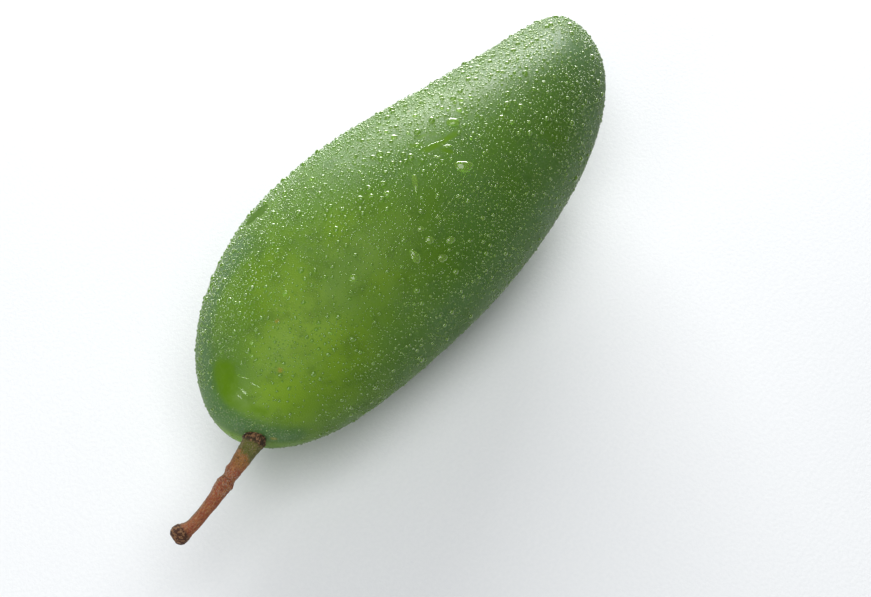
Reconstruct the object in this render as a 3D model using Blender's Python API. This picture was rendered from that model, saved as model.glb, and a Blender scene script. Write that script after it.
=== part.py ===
"""Long green mango lying on its broad side, with its short cut stem and its largest drops of dew.

Metres, +Z up. +X runs from the stem end to the tip, and +Y is the full rounded back of the fruit.
The origin is the middle of the small flat that the fruit rests on, below its centre of weight.
"""

import math
import random

import bmesh
import bpy
from mathutils import Matrix, Vector

MM = 0.001

# The fruit's long axis: its half length, its middle, and how far the tip swings towards the back.
HALF_LENGTH = 87.5 * MM
MIDDLE = Vector((6.9, -2.4, 31.7)) * MM
TIP_SWING = 8 * MM

# How far each side of the skin stands from the axis, in mm at nine even steps from the stem end
# to the tip. A half sine along the fruit then rounds both ends, and every section is an oval.
BACK_MM = (42, 43, 43.5, 41, 33.5, 24.5, 20.5, 23, 30)
BELLY_MM = (37, 36, 34.5, 33, 34, 35.5, 38, 40, 34)
UPPER_MM = (40, 38, 34.5, 33.5, 32, 29.5, 27, 24, 22)
LOWER_MM = (40, 38, 34.5, 33.2, 32.3, 30.7, 28.5, 26, 24)
SIDES_ROUND = 72
RINGS_ALONG = 44

# The hollow round the stem, and the plain hole that the stem stands in.
STEM_SEAT = (13.0, 176.0)
HOLLOW_DEPTH = 1.1 * MM
HOLLOW_RADIUS = 7 * MM
HOLE_DEPTH = 2.0 * MM
HOLE_CLEARANCE = 0.5 * MM
HOLE_SIDES = 28

# The stem: the points it runs through after its seat, and its radius by distance from the skin.
STEM_POINTS_MM = (
    (-82.9, -11.1, 31.4),
    (-87.0, -11.6, 31.0),
    (-91.6, -12.1, 30.5),
    (-97.5, -12.7, 30.0),
    (-103.6, -12.9, 29.4),
    (-107.0, -12.6, 29.0),
    (-114.4, -10.6, 28.4),
)
STEM_RADII_MM = (
    (-1.3, 3.0),
    (0.0, 3.1),
    (1.0, 3.3),
    (2.2, 2.95),
    (4.0, 2.75),
    (6.5, 2.55),
    (8.6, 2.4),
    (9.8, 2.25),
    (10.8, 2.35),
    (12.6, 1.95),
    (13.4, 1.95),
    (14.9, 2.4),
    (15.9, 2.3),
    (17.4, 2.2),
    (19.4, 1.95),
    (25.0, 1.75),
    (29.0, 1.8),
    (31.0, 2.2),
    (33.3, 2.7),
    (35.4, 2.35),
    (36.2, 1.7),
)
STEM_SIDES = 20
STEM_STEP = 0.9 * MM
SCAR_DEPTH = 0.6 * MM

# Drops of dew that stand out most: degrees along the fruit from the stem end, degrees round it
# from the back over the top, length and width in mm, and degrees that the length is turned.
LARGE_DROPS = (
    (94, 109, 5.4, 3.6, 133),
    (101, 87, 3.4, 3.0, 142),
    (85, 100, 5.0, 2.0, 52),
    (74, 125, 4.2, 3.4, 86),
    (79, 124, 3.1, 2.5, 159),
    (82, 131, 3.4, 2.5, 156),
    (78, 135, 3.5, 2.8, 141),
    (79, 117, 2.3, 2.1, 136),
    (91, 73, 2.4, 2.3, 136),
    (63, 112, 2.7, 2.5, 130),
    (80, 95, 2.2, 2.0, 133),
    (93, 98, 3.2, 1.5, 124),
)
SMALL_DROP_COUNT = 46
SMALL_DROP_WIDTH = (1.3 * MM, 2.1 * MM)
DROP_SPACING = 4.5 * MM
DROP_LOWEST = 14 * MM
DROP_HEIGHT = 0.34
DROP_SIDES = 8
DROP_RINGS = 4
DROP_SEED = 31

SKIN_COLOUR = (0.105, 0.225, 0.045, 1.0)
BARK_COLOUR = (0.150, 0.060, 0.030, 1.0)


def clear_scene():
    for obj in list(bpy.data.objects):
        bpy.data.objects.remove(obj, do_unlink=True)


def through_steps(values, share):
    """Smooth value at a share of the way, 0 to 1, along evenly spaced values."""
    place = min(max(share, 0.0), 1.0) * (len(values) - 1)
    step = min(int(place), len(values) - 2)
    t = place - step
    before = values[max(step - 1, 0)]
    here = values[step]
    there = values[step + 1]
    after = values[min(step + 2, len(values) - 1)]
    bend = 2 * before - 5 * here + 4 * there - after
    turn = 3 * here - before - 3 * there + after
    return here + 0.5 * t * (there - before + t * (bend + t * turn))


def plain_skin_point(along, around):
    """Point of the skin without the hollow; both angles in radians."""
    share = along / math.pi
    back = through_steps(BACK_MM, share) * MM
    belly = through_steps(BELLY_MM, share) * MM
    upper = through_steps(UPPER_MM, share) * MM
    lower = through_steps(LOWER_MM, share) * MM
    girth = 0.5 * math.sin(along)
    x = -HALF_LENGTH * math.cos(along)
    y = TIP_SWING * (0.5 - 0.5 * math.cos(along)) ** 2
    y += girth * (back - belly + (back + belly) * math.cos(around))
    z = girth * (upper - lower + (upper + lower) * math.sin(around))
    return MIDDLE + Vector((x, y, z))


def skin_frame(along, around):
    """Place on the skin, the direction along the fruit there, and the outward direction."""
    small = 0.01
    place = plain_skin_point(along, around)
    ahead = plain_skin_point(along + small, around) - plain_skin_point(along - small, around)
    aside = plain_skin_point(along, around + small) - plain_skin_point(along, around - small)
    outward = aside.cross(ahead).normalized()
    return place, ahead.normalized(), outward


def seat_frame():
    return skin_frame(math.radians(STEM_SEAT[0]), math.radians(STEM_SEAT[1]))


def skin_point(along, around):
    place = plain_skin_point(along, around)
    seat, _, outward = seat_frame()
    reach = (place - seat).length / HOLLOW_RADIUS
    return place - outward * HOLLOW_DEPTH * math.exp(-reach * reach)


def make_material(name, colour, roughness):
    material = bpy.data.materials.new(name)
    material.use_nodes = True
    shader = material.node_tree.nodes["Principled BSDF"]
    shader.inputs["Base Color"].default_value = colour
    shader.inputs["Roughness"].default_value = roughness
    shader.inputs["Metallic"].default_value = 0.0
    material.diffuse_color = colour
    return material


def add_object(name, bm, collection=None):
    bmesh.ops.recalc_face_normals(bm, faces=bm.faces)
    mesh = bpy.data.meshes.new(name)
    bm.to_mesh(mesh)
    bm.free()
    mesh.shade_smooth()
    obj = bpy.data.objects.new(name, mesh)
    (collection or bpy.context.scene.collection).objects.link(obj)
    return obj


def apply_boolean(obj, operation, cutter=None, collection=None):
    modifier = obj.modifiers.new(operation.lower(), "BOOLEAN")
    modifier.operation = operation
    modifier.solver = "EXACT"
    if collection:
        modifier.operand_type = "COLLECTION"
        modifier.collection = collection
    else:
        modifier.object = cutter
    with bpy.context.temp_override(object=obj, active_object=obj, selected_objects=[obj]):
        bpy.ops.object.modifier_apply(modifier=modifier.name)
    if collection:
        for part in list(collection.objects):
            bpy.data.objects.remove(part, do_unlink=True)
        bpy.data.collections.remove(collection)
    else:
        bpy.data.objects.remove(cutter, do_unlink=True)


def make_body():
    """The closed skin of the fruit, shaped from a sphere and cut flat at its resting spot."""
    bm = bmesh.new()
    bmesh.ops.create_uvsphere(bm, u_segments=SIDES_ROUND, v_segments=RINGS_ALONG, radius=1.0)
    for vert in bm.verts:
        along = math.acos(min(max(-vert.co.z, -1.0), 1.0))
        around = math.atan2(vert.co.y, vert.co.x)
        vert.co = skin_point(along, around)
    everything = bm.verts[:] + bm.edges[:] + bm.faces[:]
    ground = Vector((0, 0, 0))
    down = Vector((0, 0, -1))
    bmesh.ops.bisect_plane(bm, geom=everything, plane_co=ground, plane_no=down, clear_outer=True)
    rim = [edge for edge in bm.edges if edge.is_boundary]
    bmesh.ops.edgeloop_fill(bm, edges=rim)
    return add_object("fruit", bm)


def cut_stem_hole(fruit):
    seat, _, outward = seat_frame()
    radius = max(r for at, r in STEM_RADII_MM if at <= 1.0) * MM + HOLE_CLEARANCE
    height = 8 * MM
    bottom = seat - outward * (HOLLOW_DEPTH + HOLE_DEPTH)
    place = Matrix.Translation(bottom + outward * 0.5 * height)
    bm = bmesh.new()
    bmesh.ops.create_cone(
        bm,
        cap_ends=True,
        segments=HOLE_SIDES,
        radius1=radius,
        radius2=radius,
        depth=height,
        matrix=place @ outward.to_track_quat("Z", "Y").to_matrix().to_4x4(),
    )
    apply_boolean(fruit, "DIFFERENCE", cutter=add_object("stem_hole_cutter", bm))


def drop_list():
    """Every raised drop as (place, direction of its length, outward direction, length, width)."""
    drops = []
    for along, around, length, width, turn in LARGE_DROPS:
        place, ahead, outward = skin_frame(math.radians(along), math.radians(around))
        ahead = Matrix.Rotation(math.radians(turn), 3, outward) @ ahead
        drops.append((place, ahead, outward, length * MM, width * MM))
    seat = seat_frame()[0]
    rng = random.Random(DROP_SEED)
    while len(drops) < len(LARGE_DROPS) + SMALL_DROP_COUNT:
        along = math.acos(rng.uniform(-0.95, 0.95))
        around = rng.uniform(0, 2 * math.pi)
        size = rng.uniform(*SMALL_DROP_WIDTH)
        keep = rng.random()
        place, ahead, outward = skin_frame(along, around)
        crowded = any((place - other[0]).length < DROP_SPACING for other in drops)
        if crowded or place.z < DROP_LOWEST or (place - seat).length < 3 * DROP_SPACING:
            continue
        if keep < 0.35 + 0.65 * max(outward.z, 0.0):
            drops.append((place, ahead, outward, size * 1.1, size))
    return drops


def add_drops(fruit):
    """Low domes of water, each sunk by half into the skin and joined to it."""
    beads = bpy.data.collections.new("beads")
    bpy.context.scene.collection.children.link(beads)
    for place, ahead, outward, length, width in drop_list():
        aside = outward.cross(ahead).normalized()
        turn = Matrix((ahead, aside, outward)).transposed().to_4x4()
        size = Matrix.Diagonal((0.5 * length, 0.5 * width, DROP_HEIGHT * width, 1.0))
        bm = bmesh.new()
        bmesh.ops.create_uvsphere(
            bm,
            u_segments=DROP_SIDES,
            v_segments=DROP_RINGS,
            radius=1.0,
            matrix=Matrix.Translation(place) @ turn @ size,
        )
        add_object("bead", bm, beads)
    apply_boolean(fruit, "UNION", collection=beads)


def make_fruit():
    fruit = make_body()
    cut_stem_hole(fruit)
    add_drops(fruit)
    fruit.data.materials.append(make_material("mango_skin", SKIN_COLOUR, 0.38))
    fruit.data.shade_smooth()
    fruit.data.set_sharp_from_angle(angle=math.radians(30))
    return fruit


def stem_radius(distance):
    """Radius of the stem at a distance from the skin, eased between the listed radii."""
    at = distance / MM
    for (a, ra), (b, rb) in zip(STEM_RADII_MM, STEM_RADII_MM[1:]):
        if at <= b:
            t = max(at - a, 0.0) / (b - a)
            return (ra + (rb - ra) * t * t * (3 - 2 * t)) * MM
    return STEM_RADII_MM[-1][1] * MM


def stem_centres():
    """Points along the middle of the stem, one step apart, with their distance from the skin."""
    seat, _, outward = seat_frame()
    seat = seat - outward * HOLLOW_DEPTH
    root = seat + outward * STEM_RADII_MM[0][0] * MM
    route = [root, seat + outward * 1.2 * MM]
    route += [Vector(point) * MM for point in STEM_POINTS_MM]
    fine = [through_steps(route, i / 400) for i in range(401)]
    centres = [(fine[0], STEM_RADII_MM[0][0] * MM)]
    travelled = centres[0][1]
    last = travelled
    for before, here in zip(fine, fine[1:]):
        travelled += (here - before).length
        if travelled - last >= STEM_STEP:
            centres.append((here, travelled))
            last = travelled
        if travelled >= STEM_RADII_MM[-1][0] * MM:
            break
    return centres


def stem_lump(distance, angle):
    """Share that the bark stands out: it is uneven on the collar, the knuckles and the cut end."""
    at = distance / MM
    collar = 0.05 * math.exp(-(((at - 2.4) / 1.0) ** 2)) * math.sin(5 * angle + 0.6)
    knuckle = 0.09 * math.exp(-(((at - 10.8) / 1.2) ** 2)) * math.cos(angle + 0.3)
    second = 0.06 * math.exp(-(((at - 16.2) / 1.6) ** 2)) * math.cos(angle + 0.3)
    knob = 0.05 * math.exp(-(((at - 33.3) / 1.6) ** 2)) * math.sin(4 * angle + 1.1)
    return 1.0 + collar + knuckle + second + knob


def make_stem():
    bm = bmesh.new()
    centres = stem_centres()
    side = Vector((0, 1, 0))
    rings = []
    for i, (centre, distance) in enumerate(centres):
        ahead = centres[min(i + 1, len(centres) - 1)][0] - centres[max(i - 1, 0)][0]
        ahead.normalize()
        side = (side - ahead * side.dot(ahead)).normalized()
        up = ahead.cross(side)
        ring = []
        for k in range(STEM_SIDES):
            angle = 2 * math.pi * k / STEM_SIDES
            radius = stem_radius(distance) * stem_lump(distance, angle)
            ring.append(bm.verts.new(centre + radius * (math.cos(angle) * side + math.sin(angle) * up)))
        rings.append(ring)
    for ring, after in zip(rings, rings[1:]):
        for k in range(STEM_SIDES):
            follow = (k + 1) % STEM_SIDES
            bm.faces.new((ring[k], ring[follow], after[follow], after[k]))
    bm.faces.new(rings[0])
    scar = bm.faces.new(rings[-1])
    bmesh.ops.inset_region(bm, faces=[scar], thickness=0.6 * MM, depth=-SCAR_DEPTH)
    stem = add_object("stem", bm)
    stem.data.materials.append(make_material("stem_bark", BARK_COLOUR, 0.75))
    stem.data.set_sharp_from_angle(angle=math.radians(40))
    return stem


clear_scene()
make_fruit()
make_stem()
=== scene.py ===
import math

import bmesh
import bpy
import numpy as np
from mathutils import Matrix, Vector, noise
from mathutils.bvhtree import BVHTree


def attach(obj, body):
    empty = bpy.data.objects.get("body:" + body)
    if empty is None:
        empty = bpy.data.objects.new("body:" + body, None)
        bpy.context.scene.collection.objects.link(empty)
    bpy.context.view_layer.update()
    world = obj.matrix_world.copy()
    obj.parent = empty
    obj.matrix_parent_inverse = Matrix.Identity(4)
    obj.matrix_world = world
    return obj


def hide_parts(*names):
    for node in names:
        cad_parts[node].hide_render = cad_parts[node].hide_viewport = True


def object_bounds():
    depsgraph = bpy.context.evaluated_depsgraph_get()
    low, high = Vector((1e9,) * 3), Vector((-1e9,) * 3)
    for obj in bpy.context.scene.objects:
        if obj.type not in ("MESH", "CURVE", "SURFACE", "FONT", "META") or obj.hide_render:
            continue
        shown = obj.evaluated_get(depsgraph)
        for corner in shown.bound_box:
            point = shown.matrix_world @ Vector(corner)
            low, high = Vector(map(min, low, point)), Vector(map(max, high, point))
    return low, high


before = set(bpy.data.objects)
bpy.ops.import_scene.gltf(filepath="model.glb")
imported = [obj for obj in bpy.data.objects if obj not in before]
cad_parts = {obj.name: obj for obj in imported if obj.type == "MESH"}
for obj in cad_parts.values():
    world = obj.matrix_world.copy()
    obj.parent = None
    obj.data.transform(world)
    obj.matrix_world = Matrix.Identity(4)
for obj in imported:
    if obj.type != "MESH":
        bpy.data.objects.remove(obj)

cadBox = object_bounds()
mm = 0.001
photoSize = (871, 597)  # pixel places below are in this frame

# Camera and light

view = {
    "plan": 52,  # degrees the view is turned from +Y towards +X
    "down": 60,  # degrees it looks down
    "lens": 70,
    "sensor": 36,
    "distance": 500 * mm,
    "lookAt": Vector((-6.8, -18.1, 21.1)) * mm,
}

studio = {
    "worldColour": (0.90, 0.95, 1.0),
    "worldStrength": 0.14,
    # each light's turn is in degrees from +Y towards +X, and its rise in degrees above level
    "wallTurn": 52,  # a broad soft light behind
    "wallRise": 15,
    "wallDistance": 0.95,
    "wallSize": (0.70, 0.42),
    "wallPower": 16.2,
    "windowTurn": -88,  # a smaller one to the left
    "windowRise": 24,
    "windowDistance": 1.0,
    "windowSize": (0.36, 0.5),
    "windowPower": 3.2,
    "topTurn": -140,  # a soft light from above
    "topRise": 78,
    "topDistance": 1.2,
    "topSize": (0.9, 0.9),
    "topPower": 8.8,
    "floorSize": 6.0,
    "floorShade": (0.77, 0.79, 0.81, 1),
    "floorPale": (0.87, 0.88, 0.89, 1),
    "floorRoughness": 0.6,
    "grainScale": 900.0,
    "cloudScale": 6.0,
}


def photoDirections():
    plan = math.radians(view["plan"])
    down = math.radians(view["down"])
    right = Vector((math.cos(plan), -math.sin(plan), 0))
    away = Vector((math.sin(plan), math.cos(plan), 0))
    ahead = away * math.cos(down) - Vector((0, 0, 1)) * math.sin(down)
    return right, right.cross(ahead), ahead


def makeCamera():
    _, _, ahead = photoDirections()
    data = bpy.data.cameras.new("photoCamera")
    data.lens = view["lens"]
    data.sensor_width = view["sensor"]
    data.clip_start = 0.01
    camera = bpy.data.objects.new("photoCamera", data)
    bpy.context.scene.collection.objects.link(camera)
    camera.location = view["lookAt"] - ahead * view["distance"]
    camera.rotation_euler = ahead.to_track_quat("-Z", "Y").to_euler()
    bpy.context.scene.camera = camera


def pixelScale():
    # pixels of the photograph for a width as large as its distance
    return photoSize[0] * view["lens"] / view["sensor"]


def photoRay(pixel):
    # start and direction of the line of sight through a pixel of the photograph
    right, up, ahead = photoDirections()
    aside = (pixel[0] - photoSize[0] / 2) / pixelScale()
    above = (photoSize[1] / 2 - pixel[1]) / pixelScale()
    start = view["lookAt"] - ahead * view["distance"]
    return start, (ahead + right * aside + up * above).normalized()


def makeLight(name):
    # an area light that faces the object, from its turn, rise and distance in studio
    turn = math.radians(studio[name + "Turn"])
    rise = math.radians(studio[name + "Rise"])
    level = math.cos(rise)
    towards = Vector((math.sin(turn) * level, math.cos(turn) * level, math.sin(rise)))
    data = bpy.data.lights.new(name, "AREA")
    data.shape = "RECTANGLE"
    data.size, data.size_y = studio[name + "Size"]
    data.energy = studio[name + "Power"]
    light = bpy.data.objects.new(name, data)
    bpy.context.scene.collection.objects.link(light)
    light.location = towards * studio[name + "Distance"]
    light.rotation_euler = (-towards).to_track_quat("-Z", "Y").to_euler()
    light.visible_camera = False


def makeStudio():
    world = bpy.data.worlds.new("studioWorld")
    world.use_nodes = True
    background = world.node_tree.nodes["Background"]
    background.inputs["Color"].default_value = (*studio["worldColour"], 1)
    background.inputs["Strength"].default_value = studio["worldStrength"]
    bpy.context.scene.world = world
    for name in ("wall", "window", "top"):
        makeLight(name)
    bpy.ops.mesh.primitive_plane_add(size=studio["floorSize"])
    floor = bpy.context.object
    floor.name = "paleFloor"
    floor.data.materials.append(floorMaterial())
    bpy.context.scene.view_settings.view_transform = "Standard"


# Small helpers for node trees

def newMaterial(name):
    material = bpy.data.materials.new(name)
    material.use_nodes = True
    tree = material.node_tree
    return material, tree, tree.nodes["Principled BSDF"]


def addNode(tree, kind, settings=None, **inputs):
    # a node with its settings and unlinked values; a socket given as a value is linked
    node = tree.nodes.new(kind)
    for key, value in (settings or {}).items():
        setattr(node, key, value)
    for key, value in inputs.items():
        socket = node.inputs[int(key[1:]) if key[1:].isdigit() else key.replace("_", " ")]
        if isinstance(value, bpy.types.NodeSocket):
            tree.links.new(value, socket)
        else:
            socket.default_value = value
    return node


def mathNode(tree, operation, a, b=0.0, clamp=False):
    node = addNode(tree, "ShaderNodeMath", {"operation": operation, "use_clamp": clamp}, i0=a, i1=b)
    return node.outputs[0]


def times(tree, a, b):
    return mathNode(tree, "MULTIPLY", a, b)


def plus(tree, a, b):
    return mathNode(tree, "ADD", a, b)


def minus(tree, a, b):
    return mathNode(tree, "SUBTRACT", a, b)


def smoothRange(tree, value, low, high, least=0.0, most=1.0):
    settings = {"interpolation_type": "SMOOTHSTEP"}
    node = addNode(tree, "ShaderNodeMapRange", settings, Value=value, From_Min=low, From_Max=high,
                   To_Min=least, To_Max=most)
    return node.outputs["Result"]


def mixColour(tree, share, first, second):
    node = addNode(tree, "ShaderNodeMix", {"data_type": "RGBA"}, i0=share, i6=first, i7=second)
    return node.outputs[2]


def noiseAt(tree, place, scale, detail=2.0, rough=0.5):
    return addNode(tree, "ShaderNodeTexNoise", None, Vector=place, Scale=scale, Detail=detail,
                   Roughness=rough)


def cellsAt(tree, place, scale):
    return addNode(tree, "ShaderNodeTexVoronoi", None, Vector=place, Scale=scale, Randomness=1.0)


def makeSpeckleGroup():
    # small soft spots for bloom, scurf, cork and floor grain: built once, placed in each material
    group = bpy.data.node_groups.new("speckle", "ShaderNodeTree")
    group.interface.new_socket("Place", in_out="INPUT", socket_type="NodeSocketVector")
    for name in ("Scale", "Detail", "From", "To"):
        group.interface.new_socket(name, in_out="INPUT", socket_type="NodeSocketFloat")
    group.interface.new_socket("Mask", in_out="OUTPUT", socket_type="NodeSocketFloat")
    given = group.nodes.new("NodeGroupInput").outputs
    spots = noiseAt(group, given["Place"], given["Scale"], given["Detail"], 0.6).outputs["Fac"]
    mask = smoothRange(group, spots, given["From"], given["To"])
    group.links.new(mask, group.nodes.new("NodeGroupOutput").inputs["Mask"])


def speckle(tree, place, scale, low, high, detail=3.0):
    settings = {"node_tree": bpy.data.node_groups["speckle"]}
    node = addNode(tree, "ShaderNodeGroup", settings, Place=place, Scale=scale, Detail=detail,
                   From=low, To=high)
    return node.outputs["Mask"]


def floorMaterial():
    material, tree, shader = newMaterial("paleFloor")
    place = addNode(tree, "ShaderNodeTexCoord").outputs["Object"]
    grain = speckle(tree, place, studio["grainScale"], 0.2, 0.8)
    cloud = noiseAt(tree, place, studio["cloudScale"]).outputs["Fac"]
    tone = plus(tree, times(tree, grain, 0.35), times(tree, cloud, 0.65))
    colour = mixColour(tree, tone, studio["floorShade"], studio["floorPale"])
    tree.links.new(colour, shader.inputs["Base Color"])
    shader.inputs["Roughness"].default_value = studio["floorRoughness"]
    bump = addNode(tree, "ShaderNodeBump", None, Strength=0.15, Distance=0.0002, Height=grain)
    tree.links.new(bump.outputs["Normal"], shader.inputs["Normal"])
    return material


# Fruit skin

fruit = {
    "halfLength": 87.5,  # in mm, as the other lengths here
    "middle": (6.9, -2.4, 31.7),
    "tipSwing": 8,  # how far the tip bends aside
    # reach of each side from the middle line, at even angles from the stem end to the tip
    "back": (42, 43, 43.5, 41, 33.5, 24.5, 20.5, 23, 30),
    "belly": (37, 36, 34.5, 33, 34, 35.5, 38, 40, 34),
    "upper": (40, 38, 34.5, 33.5, 32, 29.5, 27, 24, 22),
    "lower": (40, 38, 34.5, 33.2, 32.3, 30.7, 28.5, 26, 24),
    "sides": 80,
    "rings": 62,
    "unevenness": 0.35,  # height of the slow waves in the skin
    "waveLength": 22,
    "stemSeat": (13.0, 176.0),  # degrees along the fruit and round it
    "hollowDepth": 1.1,
    "hollowRadius": 7,
    "pixel": 0.28,  # mm of skin that a pixel of the photograph covers
    "bloom": 0.22,  # how much bloom there is away from the strokes, 0 to 1
    "shadeBloom": 0.32,  # how much more on the side that lay in the shade
    "shadeSide": (-0.05, 0.70, -0.70),
    "skinColour": (0.072, 0.170, 0.009, 1),
    "yellowColour": (0.194, 0.336, 0.021, 1),
    "deepColour": (0.034, 0.092, 0.008, 1),
    "wetColour": (0.097, 0.206, 0.005, 1),
    "bloomColour": (0.100, 0.194, 0.098, 1),
    "mistColour": (0.310, 0.365, 0.190, 1),
    "speckColour": (0.280, 0.400, 0.110, 1),
    "rustColour": (0.330, 0.230, 0.025, 1),
    "mistSide": (0.30, 0.55, 0.78),  # the way that the side with the most mist faces
    "film": (0.04, 0.75),  # least and most of the mist's own sheen
    "filmRoughness": 0.42,
    "roughness": (0.42, 0.56),
    "gloss": 0.12,
    # how fine each pattern is, from the broadest to the finest
    "blotchScale": 34.0,
    "rustScale": 48.0,
    "cloudScale": 55.0,
    "mottleScale": 170.0,
    "poreScale": 330.0,
    "raggedScale": 420.0,
    "grainScale": 1300.0,
    "mistScale": 1700.0,
}

# Where the bloom lies thicker or is washed away: strokes through pixels of the photograph, half
# their width in pixels, how soft their edge is as a share of that, and the value on the stroke.
bloomStrokes = (
    (((214, 408), (204, 378), (200, 335), (210, 295), (236, 250)), 17, 1.0, 0.9),
    (((236, 424), (262, 430), (290, 434)), 13, 1.0, 0.9),
    (((450, 320), (520, 240), (572, 180), (592, 130)), 20, 1.0, 0.45),
    (((505, 65), (560, 45)), 20, 1.0, 0.6),
    (((345, 225), (392, 222), (425, 198)), 24, 1.0, 0.0),
    (((300, 330), (330, 295), (375, 262)), 34, 1.0, 0.0),
    (((262, 320), (285, 375), (270, 405)), 24, 1.0, 0.1),
    (((300, 405), (335, 385), (350, 350)), 26, 1.0, 0.0),
    (((405, 250), (446, 252)), 16, 1.0, 0.15),
    (((535, 95), (555, 130)), 20, 1.0, 0.15),
)

# Rusty spots, each by its pixel of the photograph and its radius in mm.
rustSpots = (((277, 321), 0.8), ((280, 370), 0.9), ((274, 439), 1.3))

# Skin that water has washed free of bloom, drawn as the bloom is: 0 is dry and 1 wet, and over 1
# the skin is drawn darker, rougher and with little sheen.
wetStrokes = (
    (((224, 374), (226, 384), (233, 394)), 15, 0.8, 1.0),
    (((233, 396), (250, 407), (264, 412)), 6, 1.0, 0.7),
    (((424, 151), (441, 142), (459, 130)), 5, 1.0, 0.6),
    (((427, 150), (441, 143), (455, 134)), 2.2, 0.8, 1.0),
    (((418, 138), (424, 135)), 2.2, 0.8, 0.9),
    (((428, 136), (442, 131)), 3, 1.0, 0.55),
    (((411, 146), (420, 145)), 3.5, 1.0, 0.8),
    (((444, 150), (452, 152)), 3, 1.0, 0.8),
    (((376, 127), (381, 125)), 3, 0.8, 0.9),
    (((252, 218), (261, 211)), 11, 0.3, 1.5),
    (((370, 206), (384, 221), (393, 236)), 14, 1.0, 0.48),
)


def throughSteps(values, share):
    # smooth value at a share of the way, 0 to 1, along evenly spaced values
    place = min(max(share, 0.0), 1.0) * (len(values) - 1)
    step = min(int(place), len(values) - 2)
    t = place - step
    before = values[max(step - 1, 0)]
    here = values[step]
    there = values[step + 1]
    after = values[min(step + 2, len(values) - 1)]
    bend = 2 * before - 5 * here + 4 * there - after
    turn = 3 * here - before - 3 * there + after
    return here + 0.5 * t * (there - before + t * (bend + t * turn))


def ringShape(along):
    # half width, half height and middle of the skin's oval at an angle along the fruit
    share = along / math.pi
    back = throughSteps(fruit["back"], share) * mm
    belly = throughSteps(fruit["belly"], share) * mm
    upper = throughSteps(fruit["upper"], share) * mm
    lower = throughSteps(fruit["lower"], share) * mm
    girth = 0.5 * math.sin(along)
    swing = fruit["tipSwing"] * mm * (0.5 - 0.5 * math.cos(along)) ** 2
    wide = girth * (back + belly)
    high = girth * (upper + lower)
    return wide, high, swing + girth * (back - belly), girth * (upper - lower)


def skinPoint(along, around):
    wide, high, aside, above = ringShape(along)
    x = -fruit["halfLength"] * mm * math.cos(along)
    y = aside + wide * math.cos(around)
    z = above + high * math.sin(around)
    return Vector(fruit["middle"]) * mm + Vector((x, y, z))


def seatFrame():
    along, around = (math.radians(angle) for angle in fruit["stemSeat"])
    step = 0.01
    ahead = skinPoint(along + step, around) - skinPoint(along - step, around)
    aside = skinPoint(along, around + step) - skinPoint(along, around - step)
    return skinPoint(along, around), aside.cross(ahead).normalized()


def deselectAll():
    if bpy.context.mode != "OBJECT":
        bpy.ops.object.mode_set(mode="OBJECT")
    bpy.ops.object.select_all(action="DESELECT")


def finishModifier(obj, kind, **settings):
    modifier = obj.modifiers.new(kind.lower(), kind)
    for key, value in settings.items():
        setattr(modifier, key, value)
    bpy.ops.object.modifier_apply(modifier=modifier.name)


def selectRing(mesh, x):
    bm = bmesh.from_edit_mesh(mesh)
    for vert in bm.verts:
        vert.select_set(abs(vert.co.x - x) < 1e-6)
    bm.select_flush(True)
    bmesh.update_edit_mesh(mesh)


def steadyFaces(mesh):
    # the faces in an order that is the same on every run, as a new ball's own order is not
    faces = [tuple(face.vertices) for face in mesh.polygons]
    return sorted(face[face.index(min(face)):] + face[:face.index(min(face))] for face in faces)


def makeSkin():
    deselectAll()
    half = fruit["halfLength"] * mm
    bpy.ops.mesh.primitive_uv_sphere_add(segments=fruit["sides"], ring_count=fruit["rings"],
                                         radius=half, rotation=(0, math.pi / 2, 0))
    skin = bpy.context.object
    skin.name = "fruitSkin"
    bpy.ops.object.transform_apply(location=True, rotation=True, scale=True)
    bpy.ops.object.mode_set(mode="EDIT")
    bpy.ops.mesh.select_mode(type="VERT")
    for ring in range(fruit["rings"] + 1):
        along = math.pi * ring / fruit["rings"]
        x = -half * math.cos(along)
        wide, high, aside, above = ringShape(along)
        selectRing(skin.data, x)  # each ring is stretched to its oval and moved to its middle
        if 0 < ring < fruit["rings"]:
            radius = half * math.sin(along)
            bpy.ops.transform.resize(value=(1, wide / radius, high / radius), center_override=(x, 0, 0))
        bpy.ops.transform.translate(value=(0, aside, above))
    bpy.ops.mesh.select_all(action="SELECT")
    bpy.ops.transform.translate(value=Vector(fruit["middle"]) * mm)
    bpy.ops.object.mode_set(mode="OBJECT")
    points = [tuple(vert.co) for vert in skin.data.vertices]
    faces = steadyFaces(skin.data)
    skin.data.clear_geometry()
    skin.data.from_pydata(points, [], faces)
    finishModifier(skin, "SUBSURF", levels=2, render_levels=2)
    waves = bpy.data.textures.new("skinWaves", "CLOUDS")
    waves.noise_scale = fruit["waveLength"] * mm
    waves.noise_depth = 1
    finishModifier(skin, "DISPLACE", texture=waves, strength=fruit["unevenness"] * mm, mid_level=0.9)
    sinkHollow(skin)
    skin.data.shade_smooth()
    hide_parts("fruit")
    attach(skin, "root")
    return skin


def sinkHollow(skin):
    # the shallow hollow round the stem, and the flat that the fruit rests on
    seat, outward = seatFrame()
    for vert in skin.data.vertices:
        reach = (vert.co - seat).length / (fruit["hollowRadius"] * mm)
        if reach < 3:
            vert.co -= outward * fruit["hollowDepth"] * mm * math.exp(-reach * reach)
        vert.co.z = max(vert.co.z, 0.0)


def pointArray(mesh, name):
    # the places ("co") or directions ("normal") of a mesh's points, a row for each
    values = np.empty(len(mesh.vertices) * 3)
    mesh.vertices.foreach_get(name, values)
    return values.reshape(-1, 3)


def skinTree(skin):
    return BVHTree.FromObject(skin, bpy.context.evaluated_depsgraph_get())


def onSkin(tree, pixel):
    # place and outward direction of the skin under a pixel of the photograph
    start, direction = photoRay(pixel)
    place, outward, _, _ = tree.ray_cast(start, direction)
    return place, outward


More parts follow.
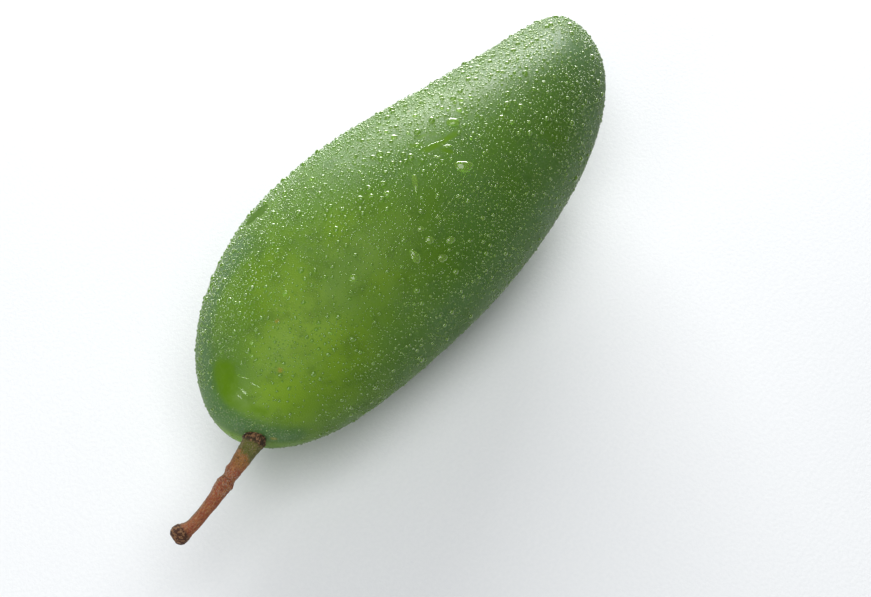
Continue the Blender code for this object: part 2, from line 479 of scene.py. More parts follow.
def plainBloom(skin):
    # the bloom away from the strokes: thin, and thicker on the side that lay in the shade
    shade = np.clip(pointArray(skin.data, "normal") @ np.array(fruit["shadeSide"]), 0, 1)
    return fruit["bloom"] + fruit["shadeBloom"] * shade * shade * (3 - 2 * shade)


def paintStrokes(skin, tree, name, strokes, plain):
    # stores a value for each point of the skin: plain, or nearer a stroke's own value on the stroke
    points = pointArray(skin.data, "co")
    painted = np.zeros(len(points)) + plain
    for pixels, halfWidth, softness, value in strokes:
        stroke = [np.array(onSkin(tree, pixel)[0]) for pixel in pixels]
        reach = np.full(len(points), 1e9)
        for start, end in zip(stroke, stroke[1:]):
            along = end - start
            t = np.clip((points - start) @ along / (along @ along), 0, 1)
            reach = np.minimum(reach, np.linalg.norm(points - start - t[:, None] * along, axis=1))
        radius = halfWidth * fruit["pixel"] * mm
        share = np.clip((radius * (1 + softness) - reach) / (2 * softness * radius), 0, 1)
        share = share * share * (3 - 2 * share)
        painted += share * (value - painted)
    attribute = skin.data.attributes.new(name, "FLOAT", "POINT")
    attribute.data.foreach_set("value", painted.astype(np.float32))
    return painted


def skinMaterial(rustPlaces):
    material, tree, shader = newMaterial("mangoSkin")
    place = addNode(tree, "ShaderNodeTexCoord").outputs["Object"]
    split = addNode(tree, "ShaderNodeSeparateXYZ", None, Vector=place)
    normal = addNode(tree, "ShaderNodeNewGeometry").outputs["Normal"]
    facing = addNode(tree, "ShaderNodeSeparateXYZ", None, Vector=normal)
    bloomKept = addNode(tree, "ShaderNodeAttribute", {"attribute_name": "bloom"}).outputs["Fac"]
    wetKept = addNode(tree, "ShaderNodeAttribute", {"attribute_name": "wet"}).outputs["Fac"]
    blotch = noiseAt(tree, place, fruit["blotchScale"], 3.0, 0.55).outputs["Fac"]
    mottle = noiseAt(tree, place, fruit["mottleScale"], 3.0, 0.6).outputs["Fac"]
    grain = speckle(tree, place, fruit["grainScale"], 0.25, 0.75, 2.0)

    # bloom, and the skin washed free of it
    ragged = noiseAt(tree, place, fruit["raggedScale"], 3.0, 0.6).outputs["Fac"]
    wetEdge = plus(tree, wetKept, times(tree, minus(tree, ragged, 0.5), 0.7))
    wet = smoothRange(tree, wetEdge, 0.20, 0.85)
    dry = minus(tree, 1.0, wet)
    cloud = noiseAt(tree, place, fruit["cloudScale"], 5.0, 0.65).outputs["Fac"]
    cloud = minus(tree, cloud, 0.5)
    bloom = mathNode(tree, "ADD", bloomKept, times(tree, cloud, 1.2), True)
    bloom = times(tree, bloom, dry)

    # green that turns yellower in the clear patches and deeper towards the tip, with painted shade
    # darkening the belly side
    yellow = smoothRange(tree, bloomKept, 0.6, 0.0)
    yellow = times(tree, yellow, smoothRange(tree, blotch, 0.3, 0.6, 0.4, 1.0))
    yellow = times(tree, yellow, smoothRange(tree, split.outputs["X"], 5 * mm, -55 * mm, 0.12, 1.0))
    colour = mixColour(tree, yellow, fruit["skinColour"], fruit["yellowColour"])
    towardsTip = smoothRange(tree, split.outputs["X"], 5 * mm, 85 * mm)
    # painted shade: the skin that faces -Y is drawn darker
    paintedBellyShade = smoothRange(tree, facing.outputs["Y"], -0.2, -1.0, 0.0, 0.6)
    tipDeepAndBellyShade = times(tree, mathNode(tree, "MAXIMUM", towardsTip, paintedBellyShade), 0.8)
    colour = mixColour(tree, tipDeepAndBellyShade, colour, fruit["deepColour"])
    spotty = times(tree, smoothRange(tree, mottle, 0.45, 0.75), 0.4)
    colour = mixColour(tree, spotty, colour, fruit["deepColour"])
    smeared = times(tree, wet, smoothRange(tree, ragged, 0.3, 0.65, 0.95, 0.55))
    colour = mixColour(tree, smeared, colour, fruit["wetColour"])
    # where the wet value goes over 1 the skin is drawn darker, with little sheen
    darkStreak = smoothRange(tree, wetKept, 1.0, 1.15)
    colour = mixColour(tree, times(tree, darkStreak, 0.55), colour, fruit["deepColour"])
    veil = times(tree, bloom, plus(tree, times(tree, grain, 0.4), 0.35))
    colour = mixColour(tree, veil, colour, fruit["bloomColour"])

    # pale breathing pores and a few rusty specks
    pore = cellsAt(tree, place, fruit["poreScale"])
    poreSize = addNode(tree, "ShaderNodeSeparateColor", None, Color=pore.outputs["Color"])
    poreEdge = times(tree, poreSize.outputs["Red"], 0.09)
    spot = smoothRange(tree, minus(tree, pore.outputs["Distance"], poreEdge), 0.035, 0.0)
    colour = mixColour(tree, times(tree, spot, 0.6), colour, fruit["speckColour"])
    rust = cellsAt(tree, place, fruit["rustScale"])
    rustSpot = smoothRange(tree, rust.outputs["Distance"], 0.03, 0.012)
    colour = mixColour(tree, times(tree, rustSpot, 0.6), colour, fruit["rustColour"])

    for centre, (_, radius) in zip(rustPlaces, rustSpots):
        offset = addNode(tree, "ShaderNodeVectorMath", {"operation": "DISTANCE"}, i0=place, i1=centre)
        ruffled = plus(tree, offset.outputs["Value"], times(tree, minus(tree, ragged, 0.5), 1.6 * mm))
        soft = smoothRange(tree, ruffled, radius * mm, 0.2 * radius * mm, 0.0, 0.55)
        colour = mixColour(tree, soft, colour, fruit["rustColour"])

    # mist too fine to model: tiny raised dots that catch the light
    mist = cellsAt(tree, place, fruit["mistScale"])
    dot = smoothRange(tree, mist.outputs["Distance"], 0.45, 0.15)
    patchy = smoothRange(tree, mottle, 0.35, 0.6, 0.35, 1.0)
    dot = times(tree, times(tree, dot, patchy), dry)
    pale = times(tree, dot, smoothRange(tree, bloom, 0.0, 1.0, 0.10, 0.60))
    colour = mixColour(tree, pale, colour, fruit["mistColour"])
    tree.links.new(colour, shader.inputs["Base Color"])

    # a waxy skin, smoother where it is wet
    rough = smoothRange(tree, mottle, 0.3, 0.7, *fruit["roughness"])
    rough = plus(tree, rough, times(tree, wet, -0.18))
    rough = plus(tree, rough, times(tree, darkStreak, 0.4))
    tree.links.new(rough, shader.inputs["Roughness"])
    under = {}
    for height, strength, depth in ((dot, 0.5, 0.09), (mottle, 0.3, 0.10), (spot, 0.5, 0.08)):
        bump = addNode(tree, "ShaderNodeBump", None, Strength=strength, Distance=depth * mm,
                       Height=height, **under)
        under = {"Normal": bump.outputs["Normal"]}
    tree.links.new(bump.outputs["Normal"], shader.inputs["Normal"])
    shader.inputs["Specular IOR Level"].default_value = fruit["gloss"]
    shader.inputs["Coat Roughness"].default_value = fruit["filmRoughness"]
    shader.inputs["Coat IOR"].default_value = 1.5

    # the sheen of the mist, as a coat: strongest on the side where it lies, next to none on the dark
    # streak
    misty = addNode(tree, "ShaderNodeVectorMath", {"operation": "DOT_PRODUCT"}, i0=normal,
                    i1=fruit["mistSide"])
    film = smoothRange(tree, misty.outputs["Value"], 0.1, 0.9, *fruit["film"])
    film = times(tree, film, smoothRange(tree, dot, 0.0, 0.8, 0.3, 1.0))
    film = times(tree, film, smoothRange(tree, bloomKept, 0.0, 0.2, 0.45, 1.0))
    film = times(tree, film, smoothRange(tree, wet, 0.0, 1.0, 1.0, 0.25))
    wetFilm = times(tree, wet, smoothRange(tree, ragged, 0.45, 0.6, 0.02, 0.2))
    film = mathNode(tree, "MAXIMUM", film, wetFilm)
    film = times(tree, film, smoothRange(tree, darkStreak, 0.0, 1.0, 1.0, 0.1))
    tree.links.new(film, shader.inputs["Coat Weight"])
    return material


# Stem

stem = {
    # places along its middle, in mm
    "points": (
        (-82.9, -11.1, 31.4),
        (-87.0, -11.6, 31.0),
        (-91.6, -12.1, 30.5),
        (-97.5, -12.7, 30.0),
        (-103.6, -12.9, 29.4),
        (-107.0, -12.6, 29.0),
        (-114.4, -10.6, 28.4),
    ),
    # distance from the skin and radius there, in mm
    "radii": (
        (-1.3, 3.0),
        (0.0, 3.1),
        (1.0, 3.25),
        (2.2, 2.9),
        (4.0, 2.72),
        (6.5, 2.52),
        (8.6, 2.35),
        (9.8, 2.2),
        (10.8, 2.3),
        (11.7, 2.15),
        (12.6, 1.92),
        (13.4, 1.92),
        (14.9, 2.4),
        (15.9, 2.3),
        (17.4, 2.18),
        (19.4, 1.95),
        (25.0, 1.75),
        (29.0, 1.8),
        (30.6, 1.95),
        (31.5, 2.3),
        (32.4, 2.68),
        (33.2, 2.8),
        (34.0, 2.74),
        (34.7, 2.46),
        (35.2, 2.06),
        (35.5, 1.62),
        (35.7, 1.1),
    ),
    "fineSteps": 1600,
    "step": 0.2,  # mm between the rings of the tube
    "roundness": 30,  # bevel resolution of the tube, which gives 64 sides
    # each lump of the bark: the distance of its middle from the skin, and its width, in mm
    "collar": (1.0, 0.9),
    "knuckle": (10.8, 1.0),
    "second": (15.2, 1.4),
    "swelling": (17.0, 1.4),
    "knob": (33.4, 1.6),
    "endInsets": ((0.3, 0.05), (0.3, -0.04), (0.2, -0.06)),  # width and rise of each, in mm
    # how fine each pattern is
    "streakScale": 2.2,
    "streakStretch": (0.35, 3.0, 3.0),
    "blotchScale": 380.0,
    "corkScale": 1250.0,
    "fleckScale": 1500.0,
    "scurfScale": 2600.0,
    "roughness": (0.55, 0.85),
    "gloss": 0.25,
    "greenColour": (0.110, 0.125, 0.024, 1),
    "ochreColour": (0.270, 0.125, 0.026, 1),
    "tanColour": (0.400, 0.175, 0.060, 1),
    "redColour": (0.300, 0.068, 0.029, 1),
    "greyColour": (0.460, 0.320, 0.230, 1),
    "oliveColour": (0.120, 0.110, 0.050, 1),
    "darkColour": (0.040, 0.018, 0.012, 1),
    "corkColour": (0.380, 0.200, 0.095, 1),
}


def stemRadius(at):
    for (a, radiusA), (b, radiusB) in zip(stem["radii"], stem["radii"][1:]):
        if at <= b:
            t = max(at - a, 0.0) / (b - a)
            return radiusA + (radiusB - radiusA) * t * t * (3 - 2 * t)
    return stem["radii"][-1][1]


def stemCentres():
    # points along the middle of the stem with their distance from the skin, in mm
    seat, outward = seatFrame()
    seat = (seat - outward * fruit["hollowDepth"] * mm) / mm
    route = [seat + outward * stem["radii"][0][0], seat + outward * 1.2]
    route += [Vector(point) for point in stem["points"]]
    steps = stem["fineSteps"]
    fine = [throughSteps(route, step / steps) for step in range(steps + 1)]
    travelled = stem["radii"][0][0]
    centres = [(fine[0], travelled)]
    for before, here in zip(fine, fine[1:]):
        travelled += (here - before).length
        if travelled - centres[-1][1] >= stem["step"]:
            centres.append((here, travelled))
        if travelled >= stem["radii"][-1][0]:
            break
    return centres


def lump(at, name):
    middle, width = stem[name]
    return math.exp(-(((at - middle) / width) ** 2))


def barkHeight(at, angle):
    # how far the bark stands out, in mm, at a distance from the skin and an angle round the stem
    ring = Vector((math.cos(angle), math.sin(angle), 0.0))
    collar = lump(at, "collar")
    knuckle = lump(at, "knuckle")
    second = lump(at, "second")
    height = 0.10 * collar * math.sin(5 * angle + 0.6)
    bulge = (0.20 * knuckle + 0.12 * lump(at, "swelling")) * math.cos(angle + 0.3)
    height += bulge + 0.05 * second * math.cos(2 * angle + 0.4)
    ridges = noise.noise(Vector((ring.x * 3.2, ring.y * 3.2, at * 0.35)))
    pits = noise.noise(Vector((ring.x * 6.0 + 9.0, ring.y * 6.0, at * 1.6)))
    corky = abs(noise.noise(Vector((ring.x * 5.0, ring.y * 5.0 + 5.0, at * 1.9))))
    warped = at + 0.25 * math.sin(2 * angle + 1.0) + 0.5 * pits
    rings = math.sin(warped * 4.6) * (0.7 * knuckle + second)
    height += 0.08 * ridges + 0.07 * pits + 0.09 * rings
    return height + (0.75 * collar + 0.25 * lump(at, "knob")) * (corky - 0.2)


def makeStem():
    deselectAll()
    centres = stemCentres()
    curve = bpy.data.curves.new("stemBark", "CURVE")
    curve.dimensions = "3D"
    curve.bevel_depth = mm
    curve.bevel_resolution = stem["roundness"]
    curve.use_fill_caps = True
    spline = curve.splines.new("POLY")
    spline.points.add(len(centres) - 1)
    for point, (centre, at) in zip(spline.points, centres):
        point.co = (*(centre * mm), 1)
        point.radius = stemRadius(at)
    bark = bpy.data.objects.new("stemBark", curve)
    bpy.context.scene.collection.objects.link(bark)
    bpy.context.view_layer.objects.active = bark
    bark.select_set(True)
    bpy.ops.object.convert(target="MESH")
    bark = bpy.context.object
    bpy.ops.object.mode_set(mode="EDIT")
    bpy.ops.mesh.select_mode(type="FACE")
    bpy.ops.mesh.select_all(action="SELECT")
    bpy.ops.mesh.remove_doubles(threshold=1e-6)
    bpy.ops.mesh.normals_make_consistent(inside=False)
    cutEnd(bark, centres)
    bpy.ops.object.mode_set(mode="OBJECT")
    raiseBark(bark, centres)
    bark.data.shade_smooth()
    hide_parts("stem")
    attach(bark, "root")
    return bark


def cutEnd(bark, centres):
    # the cap at the free end is inset three times, into a rounded end with a shallow scar
    ahead = (centres[-1][0] - centres[-3][0]).normalized()
    bm = bmesh.from_edit_mesh(bark.data)
    for face in bm.faces:
        face.select_set(len(face.verts) > 4 and face.normal.dot(ahead) > 0.8)
    bmesh.update_edit_mesh(bark.data)
    for width, rise in stem["endInsets"]:
        bpy.ops.mesh.inset(thickness=width * mm, depth=0)
        bpy.ops.transform.translate(value=ahead * rise * mm)


def raiseBark(bark, centres):
    # moves every point out by the bark's height, and stores where it lies for the material
    middles = np.array([centre * mm for centre, _ in centres])
    distances = np.array([at for _, at in centres])
    side = Vector((0, 1, 0))
    layer = bark.data.attributes.new("stemPlace", "FLOAT_VECTOR", "POINT")
    last = len(centres) - 1
    ahead = []
    for index in range(last + 1):
        before = centres[max(index - 1, 0)][0]
        after = centres[min(index + 1, last)][0]
        ahead.append((after - before).normalized())
    for vert in bark.data.vertices:
        nearest = int(np.argmin(((middles - np.array(vert.co)) ** 2).sum(axis=1)))
        across = (side - ahead[nearest] * side.dot(ahead[nearest])).normalized()
        up = ahead[nearest].cross(across)
        arm = vert.co - Vector(middles[nearest])
        arm -= ahead[nearest] * arm.dot(ahead[nearest])
        angle = math.atan2(arm.dot(up), arm.dot(across))
        at = distances[nearest]
        share = min(arm.length / (stemRadius(at) * mm), 1.0)
        if arm.length > 1e-6:
            vert.co += arm.normalized() * barkHeight(at, angle) * share * mm
        layer.data[vert.index].vector = (at, math.cos(angle), math.sin(angle))


def stemMaterial():
    material, tree, shader = newMaterial("stemBark")
    place = addNode(tree, "ShaderNodeTexCoord").outputs["Object"]
    kept = addNode(tree, "ShaderNodeAttribute", {"attribute_name": "stemPlace"}).outputs["Vector"]
    split = addNode(tree, "ShaderNodeSeparateXYZ", None, Vector=kept)
    at = split.outputs["X"]
    stretched = addNode(tree, "ShaderNodeVectorMath", {"operation": "MULTIPLY"}, i0=kept,
                        i1=stem["streakStretch"]).outputs[0]
    streak = noiseAt(tree, stretched, stem["streakScale"], 4.0, 0.6).outputs["Fac"]
    blotch = noiseAt(tree, place, stem["blotchScale"], 4.0, 0.6).outputs["Fac"]
    fine = speckle(tree, place, stem["scurfScale"], 0.48, 0.62)
    uneven = minus(tree, blotch, 0.5)
    wander = plus(tree, at, times(tree, uneven, 7.0))
    nearly = plus(tree, at, times(tree, uneven, 2.4))

    # green by the fruit, then ochre, then red-brown with tan streaks
    ochre = smoothRange(tree, wander, 4.8, 6.8)
    colour = mixColour(tree, ochre, stem["greenColour"], stem["ochreColour"])
    colour = mixColour(tree, smoothRange(tree, wander, 7.6, 11.0), colour, stem["redColour"])
    tan = smoothRange(tree, streak, 0.44, 0.60, 0.0, 0.85)
    colour = mixColour(tree, tan, colour, stem["tanColour"])
    colour = mixColour(tree, smoothRange(tree, wander, 4.8, 6.6, 0.9, 0.0), colour, stem["greenColour"])
    topSide = smoothRange(tree, split.outputs["Y"], 0.2, 0.9)
    olive = times(tree, topSide, smoothRange(tree, wander, 17.0, 27.0, 0.1, 0.75))
    colour = mixColour(tree, olive, colour, stem["oliveColour"])
    grey = times(tree, topSide, smoothRange(tree, blotch, 0.4, 0.62, 0.0, 0.4))
    colour = mixColour(tree, grey, colour, stem["greyColour"])

    # grey scurf, most of it on the knuckles, dark flecks and cracks along the stem
    fromKnuckles = mathNode(tree, "ABSOLUTE", minus(tree, nearly, 15.0))
    scurf = times(tree, fine, smoothRange(tree, fromKnuckles, 5.5, 2.5, 0.3, 0.85))
    colour = mixColour(tree, scurf, colour, stem["greyColour"])
    fleck = times(tree, speckle(tree, place, stem["fleckScale"], 0.44, 0.32), 0.6)
    colour = mixColour(tree, fleck, colour, stem["darkColour"])
    crack = smoothRange(tree, mathNode(tree, "ABSOLUTE", minus(tree, streak, 0.5)), 0.02, 0.0)
    colour = mixColour(tree, times(tree, crack, 0.5), colour, stem["darkColour"])

    # cracks round the second knuckle, and dark cork at both ends
    ringed = mathNode(tree, "ABSOLUTE", mathNode(tree, "SINE", times(tree, nearly, 2.3)))
    fromSecond = mathNode(tree, "ABSOLUTE", minus(tree, at, 15.4))
    onKnuckle = smoothRange(tree, fromSecond, 2.4, 1.4, 0.0, 0.6)
    ringCrack = times(tree, smoothRange(tree, ringed, 0.22, 0.05), onKnuckle)
    colour = mixColour(tree, ringCrack, colour, stem["darkColour"])
    collar = smoothRange(tree, nearly, 2.3, 1.2)
    ends = mathNode(tree, "MAXIMUM", collar, smoothRange(tree, nearly, 31.3, 32.4))
    colour = mixColour(tree, times(tree, ends, 0.9), colour, stem["darkColour"])
    cork = times(tree, ends, times(tree, speckle(tree, place, stem["corkScale"], 0.49, 0.59), 0.65))
    colour = mixColour(tree, cork, colour, stem["corkColour"])
    tree.links.new(colour, shader.inputs["Base Color"])
    rough = smoothRange(tree, blotch, 0.3, 0.7, *stem["roughness"])
    tree.links.new(rough, shader.inputs["Roughness"])
    height = plus(tree, times(tree, fine, 0.4), streak)
    bump = addNode(tree, "ShaderNodeBump", None, Strength=0.8, Distance=0.3 * mm, Height=height)
    tree.links.new(bump.outputs["Normal"], shader.inputs["Normal"])
    shader.inputs["Specular IOR Level"].default_value = stem["gloss"]
    return material


# Dew

dew = {
    "seed": 7,
    "fineCount": 16500,
    "fineWidth": (0.38, 0.72),  # least and most, in mm
    "fineEvenness": 0.42,  # how thickly it lies where least does, as a share of the most
    "fineWetLimit": 0.5,  # none lies where the skin is wetter
    "fineSides": (7, 4),  # sides of a bead, and rings of the ball that it is cut from
    "smallCount": 3000,
    "smallWidth": (0.72, 1.40),
    "smallEvenness": 0.1,
    "smallWetLimit": 0.5,
    "smallSides": (9, 6),
    "middleCount": 380,
    "middleWidth": (1.3, 2.2),
    "middleEvenness": 0.1,
    "middleWetLimit": 0.9,
    "middleSides": (10, 8),
    "largeSides": (28, 16),
    "litSide": (0.62, 0.70),  # how far the side with the most dew faces +Y and +Z
    "tipRise": (-60, 110, 0.45),  # x where the dew starts to thicken, over how far, and the least share
    "stemRise": (-78, 22, 0.25),  # the same for the bare place round the stem
    "clumpScale": 55,
    "rim": ((213, 284), (208, 300), (203, 315), (200.5, 330), (199.5, 345), (200, 360), (202, 374)),
    "rimReach": 4.5,  # mm from those pixels' places that the dew lies thicker
    "height": 0.42,  # height of a bead as a share of its width
    "largeFrom": 5.5,  # width from which a drop is large, in pixels of the photograph
    "largeHeight": 0.30,  # height of a large drop as a share of its width
    "ridgeHeight": 0.24,  # and of one that is more than twice as long as it is wide
    "sink": 0.06,  # share of the width that is below the skin
    "lowest": 2.0,  # mm above the table, under which no bead hangs
    "roughness": 0.12,
    "outerRoughness": 0.06,
    # how clear the water is, its colour, and the light it lets through
    "beadWater": (0.58, (0.24, 0.42, 0.055, 1), (0.62, 0.66, 0.50, 1)),
    "dropWater": (0.78, (0.47, 0.68, 0.14, 1), (0.56, 0.64, 0.42, 1)),
}

# Large drops, by the pixel of the photograph that each covers: place, length and width in
# pixels, degrees that the length is turned from level, how far one end is drawn out, and how far
# its upper side is flattened.
largeDrops = (
    ((464, 165), 21, 17, 2, 0.0, 0.45),
    ((453, 121.5), 14, 13, 0, 0.0, 0.25),
    ((415, 182), 18, 7, 95, 0.1, 0.0),
    ((415, 256), 17, 12, 130, 0.35, 0.0),
    ((430, 240), 11, 9, 20, 0.1, 0.0),
    ((451, 240), 12, 9, 15, 0.3, 0.0),
    ((443, 258), 12, 10, 0, 0.2, 0.0),
    ((421, 229), 8, 7, 0, 0.1, 0.0),
    ((438, 217), 6, 5.5, 0, 0.0, 0.0),
    ((483, 218), 6, 5.5, 0, 0.0, 0.0),
    ((394, 137), 8, 7.5, 0, 0.0, 0.0),
    ((353.5, 278.5), 10, 9, 0, 0.0, 0.0),
    ((387, 194), 8, 7.5, 0, 0.0, 0.0),
    ((371, 196), 6.5, 6, 0, 0.0, 0.0),
    ((312, 179), 5.5, 5, 0, 0.0, 0.0),
    ((415, 116), 6, 5, 0, 0.0, 0.0),
    ((386, 132), 5, 5, 0, 0.0, 0.0),
    ((408, 133), 4, 4, 0, 0.0, 0.0),
    ((442, 108), 5, 5, 0, 0.0, 0.0),
    ((448, 110), 4, 4, 0, 0.0, 0.0),
    ((459, 110), 6, 5, 0, 0.0, 0.0),
    ((461, 100), 5, 5, 0, 0.0, 0.0),
    ((470, 96.5), 4, 4, 0, 0.0, 0.0),
    ((484, 153), 4, 4, 0, 0.0, 0.0),
    ((471, 138), 4.5, 4.5, 0, 0.0, 0.0),
    ((448, 146), 10, 4.5, 10, 0.2, 0.0),
    ((437, 157), 9, 4, 170, 0.2, 0.0),
    ((436, 143), 21, 2.6, 33, 0.3, 0.0),
    ((417, 145), 6, 6, 0, 0.0, 0.0),
    ((252, 343), 5.5, 5, 0, 0.0, 0.0),
    ((252, 356), 5.5, 5, 100, 0.1, 0.0),
    ((285, 293), 6, 6, 0, 0.0, 0.0),
    ((330, 333), 6, 4, 150, 0.3, 0.0),
    ((243, 391), 13, 3.6, 140, 0.3, 0.0),
    ((243, 377), 13, 2.6, 168, 0.3, 0.0),
    ((239, 396), 9, 2.6, 140, 0.3, 0.0),
    ((255, 385), 13, 1.8, 152, 0.3, 0.0),
    ((512, 122), 5, 8, 100, 0.3, 0.0),
    ((529, 122), 5, 4, 0, 0.0, 0.0),
)


def dewMaterial(name, clearness, colour, shadowColour):
    # water that shows the green under it, and lets most of the light through to the skin
    material, tree, shader = newMaterial(name)
    shader.inputs["Base Color"].default_value = colour
    shader.inputs["Roughness"].default_value = dew["roughness"]
    shader.inputs["IOR"].default_value = 1.333
    shader.inputs["Transmission Weight"].default_value = clearness
    shader.inputs["Coat Weight"].default_value = 1.0
    shader.inputs["Coat Roughness"].default_value = dew["outerRoughness"]
    shader.inputs["Coat IOR"].default_value = 1.5
    clear = addNode(tree, "ShaderNodeBsdfTransparent", None, Color=shadowColour)
    shadow = addNode(tree, "ShaderNodeLightPath").outputs["Is Shadow Ray"]
    both = addNode(tree, "ShaderNodeMixShader", None, i0=shadow, i1=shader.outputs[0],
                   i2=clear.outputs[0])
    tree.links.new(both.outputs[0], tree.nodes["Material Output"].inputs["Surface"])
    return material


def modelBead(sides, rings):
    # one closed dome, 1 wide, with its flat side at z = 0
    deselectAll()
    bpy.ops.mesh.primitive_uv_sphere_add(segments=sides, ring_count=rings, radius=0.5)
    bead = bpy.context.object
    bpy.ops.object.mode_set(mode="EDIT")
    bpy.ops.mesh.select_all(action="SELECT")
    bpy.ops.mesh.bisect(plane_co=(0, 0, 0), plane_no=(0, 0, 1), use_fill=True, clear_inner=True)
    bpy.ops.object.mode_set(mode="OBJECT")
    verts = np.array([vert.co for vert in bead.data.vertices])
    faces = steadyFaces(bead.data)
    bpy.data.objects.remove(bead, do_unlink=True)
    return verts, faces


def stampBeads(name, bead, drops, material):
    # one piece holding a copy of the bead for each drop, with its own outline
    verts, faces = bead
    angle = np.arctan2(verts[:, 1], verts[:, 0])
    allVerts = []
    allFaces = []
    for place, ahead, outward, size, outline in drops:
        wave, phase, drawn, flat = outline
        aside = outward.cross(ahead).normalized()
        turn = np.array((aside.cross(outward), aside, outward))
        waved = 1 + wave * np.sin(2 * angle + phase) + 0.8 * wave * np.sin(3 * angle + 2.1 * phase)
        along = verts[:, 0] * waved
        across = verts[:, 1] * waved * (1 - drawn * (along + 0.5))
        across = np.where(across > 0, across * (1 - flat), across)
        shape = np.stack((along * size[0], across * size[1], verts[:, 2] * 2 * size[2]), axis=1)
        start = len(allVerts) * len(verts)
        allVerts.append(shape @ turn + np.array(place - outward * dew["sink"] * size[1]))
        allFaces += [tuple(index + start for index in face) for face in faces]
    # no drop stands out past the solid's own box
    points = np.clip(np.concatenate(allVerts), cadBox[0], cadBox[1])
    mesh = bpy.data.meshes.new(name)
    mesh.from_pydata(points.tolist(), [], allFaces)
    mesh.shade_smooth()
    mesh.set_sharp_from_angle(angle=math.radians(60))
    piece = bpy.data.objects.new(name, mesh)
    bpy.context.scene.collection.objects.link(piece)
    mesh.materials.append(material)
    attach(piece, "root")


def skinSamples(skin, wet, count, rng):
    # random points of the skin, even by area, with their outward direction and wetness
    mesh = skin.data
    mesh.calc_loop_triangles()
    corners = np.empty(len(mesh.loop_triangles) * 3, np.int32)
    mesh.loop_triangles.foreach_get("vertices", corners)
    corners = corners.reshape(-1, 3)
    points = pointArray(mesh, "co")
    normals = pointArray(mesh, "normal")
    a, b, c = (points[corners[:, k]] for k in range(3))
    area = np.linalg.norm(np.cross(b - a, c - a), axis=1)
    chosen = rng.choice(len(area), count, p=area / area.sum())
    share = rng.dirichlet((1, 1, 1), count)
    place = sum(points[corners[chosen, k]] * share[:, k, None] for k in range(3))
    outward = sum(normals[corners[chosen, k]] * share[:, k, None] for k in range(3))
    wetness = sum(wet[corners[chosen, k]] * share[:, k] for k in range(3))
    return place, outward / np.linalg.norm(outward, axis=1)[:, None], wetness


def riseAlong(x, start, reach, least):
    # rises from least at start to 1, over a reach along the fruit
    return least + (1 - least) * min(max((x / mm - start) / reach, 0.0), 1.0)


def dewShare(place, outward, evenness, rim):
    # how thickly the dew lies: most on the upper back, towards the tip and along the left rim
    lit = max(0.5 + 0.5 * (dew["litSide"][0] * outward[1] + dew["litSide"][1] * outward[2]), 0.0)
    slope = evenness + (1 - evenness) * lit ** 2.2
    tipwards = riseAlong(place[0], *dew["tipRise"])
    fromStem = riseAlong(place[0], *dew["stemRise"])
    clump = 0.85 + 0.9 * noise.noise(Vector(place) * dew["clumpScale"])
    misty = 0.6 + 0.8 * max(outward @ np.array(fruit["mistSide"]), 0.0) ** 3
    thinly = slope * tipwards * fromStem * misty * min(max(clump, 0.3), 1.2)
    reach = min(np.linalg.norm(place - spot) for spot in rim)
    return thinly + max(1 - reach / (dew["rimReach"] * mm), 0.0)


def scatterDew(skin, wet, rim, taken, size, rng):
    # beads placed at random until the count is met, thicker where dewShare is high, never touching
    beads = []
    count = dew[size + "Count"]
    least, most = dew[size + "Width"]
    cells = {}
    cell = 2.5 * mm

    def near(place):
        key = tuple(int(math.floor(v / cell)) for v in place)
        for dx in (-1, 0, 1):
            for dy in (-1, 0, 1):
                for dz in (-1, 0, 1):
                    yield from cells.get((key[0] + dx, key[1] + dy, key[2] + dz), ())

    def keep(place, radius):
        key = tuple(int(math.floor(v / cell)) for v in place)
        cells.setdefault(key, []).append((place, radius))

    for place, radius in taken:
        keep(place, radius)
    while len(beads) < count:
        places, outwards, wetness = skinSamples(skin, wet, count, rng)
        draws = rng.random((count, 4))
        for place, outward, washed, draw in zip(places, outwards, wetness, draws):
            if place[2] < dew["lowest"] * mm or washed > dew[size + "WetLimit"]:
                continue
            if draw[0] > dewShare(place, outward, dew[size + "Evenness"], rim):
                continue
            width = (least + (most - least) * draw[1] ** 2.2) * mm
            spot = Vector(place)
            if any((spot - other).length < 0.55 * width + radius for other, radius in near(spot)):
                continue
            keep(spot, 0.5 * width)
            lengthways = Vector((math.cos(40 * draw[2]), math.sin(40 * draw[2]), 0.01))
            long = width * (1 + 0.3 * draw[3] ** 3)
            sizes = (long, width, dew["height"] * width * (0.8 + 0.4 * draw[2]))
            outline = (0.07 * draw[3], 40 * draw[1], 0.0, 0.0)
            beads.append((spot, lengthways, Vector(outward), sizes, outline))
            taken.append((spot, 0.5 * width))
            if len(beads) >= count:
                break
    return beads


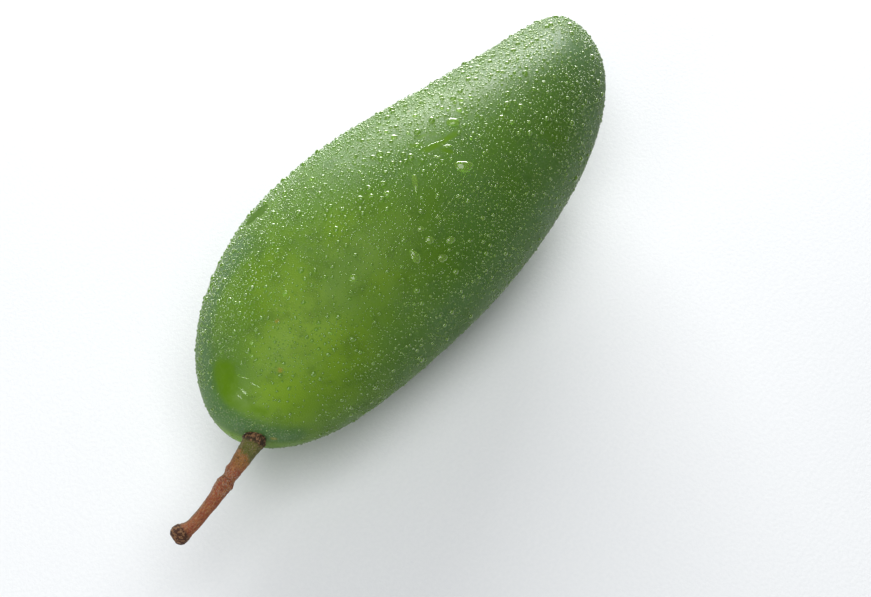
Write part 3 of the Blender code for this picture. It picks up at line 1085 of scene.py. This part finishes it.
def largeDropPlaces(tree):
    # each large drop lies on the skin under its pixel, turned and sized as it looks there
    right, up, _ = photoDirections()
    drops = []
    for index, (pixel, long, wide, turn, drawn, flat) in enumerate(largeDrops):
        place, outward = onSkin(tree, pixel)
        start, _ = photoRay(pixel)
        perPixel = (place - start).length / pixelScale()
        level = math.radians(turn)
        lengthways = right * math.cos(level) + up * math.sin(level)
        lengthways = (lengthways - outward * lengthways.dot(outward)).normalized()
        width = wide * perPixel
        height = (dew["height"] if wide < dew["largeFrom"] else dew["largeHeight"]) * width
        if long > 2 * wide:
            height = dew["ridgeHeight"] * width
        sizes = (long * perPixel, width, height)
        drops.append((place, lengthways, outward, sizes, (0.05, index, drawn, flat)))
    return drops


def makeDew(skin, tree, wet):
    rng = np.random.default_rng(dew["seed"])
    dropWater = dewMaterial("dropWater", *dew["dropWater"])
    beadWater = dewMaterial("beadWater", *dew["beadWater"])
    rim = [np.array(onSkin(tree, pixel)[0]) for pixel in dew["rim"]]
    large = largeDropPlaces(tree)
    taken = [(drop[0], 0.5 * drop[3][0]) for drop in large]
    stampBeads("dewLarge", modelBead(*dew["largeSides"]), large, dropWater)
    middle = scatterDew(skin, wet, rim, taken, "middle", rng)
    stampBeads("dewMiddle", modelBead(*dew["middleSides"]), middle, beadWater)
    small = scatterDew(skin, wet, rim, taken, "small", rng)
    stampBeads("dewSmall", modelBead(*dew["smallSides"]), small, beadWater)
    fine = scatterDew(skin, wet, rim, taken, "fine", rng)
    for number, letter in enumerate("ABC"):
        stampBeads("dewFine" + letter, modelBead(*dew["fineSides"]), fine[number::3], beadWater)
    print("dew: large", len(large), "middle", len(middle), "small", len(small), "fine", len(fine))


makeCamera()
makeSpeckleGroup()
makeStudio()
print("camera, light and floor are set")
skin = makeSkin()
tree = skinTree(skin)
paintStrokes(skin, tree, "bloom", bloomStrokes, plainBloom(skin))
wet = paintStrokes(skin, tree, "wet", wetStrokes, 0.0)
skin.data.materials.append(skinMaterial([onSkin(tree, pixel)[0] for pixel, _ in rustSpots]))
print("skin:", len(skin.data.polygons), "faces")
bark = makeStem()
bark.data.materials.append(stemMaterial())
print("stem:", len(bark.data.polygons), "faces")
makeDew(skin, tree, wet)
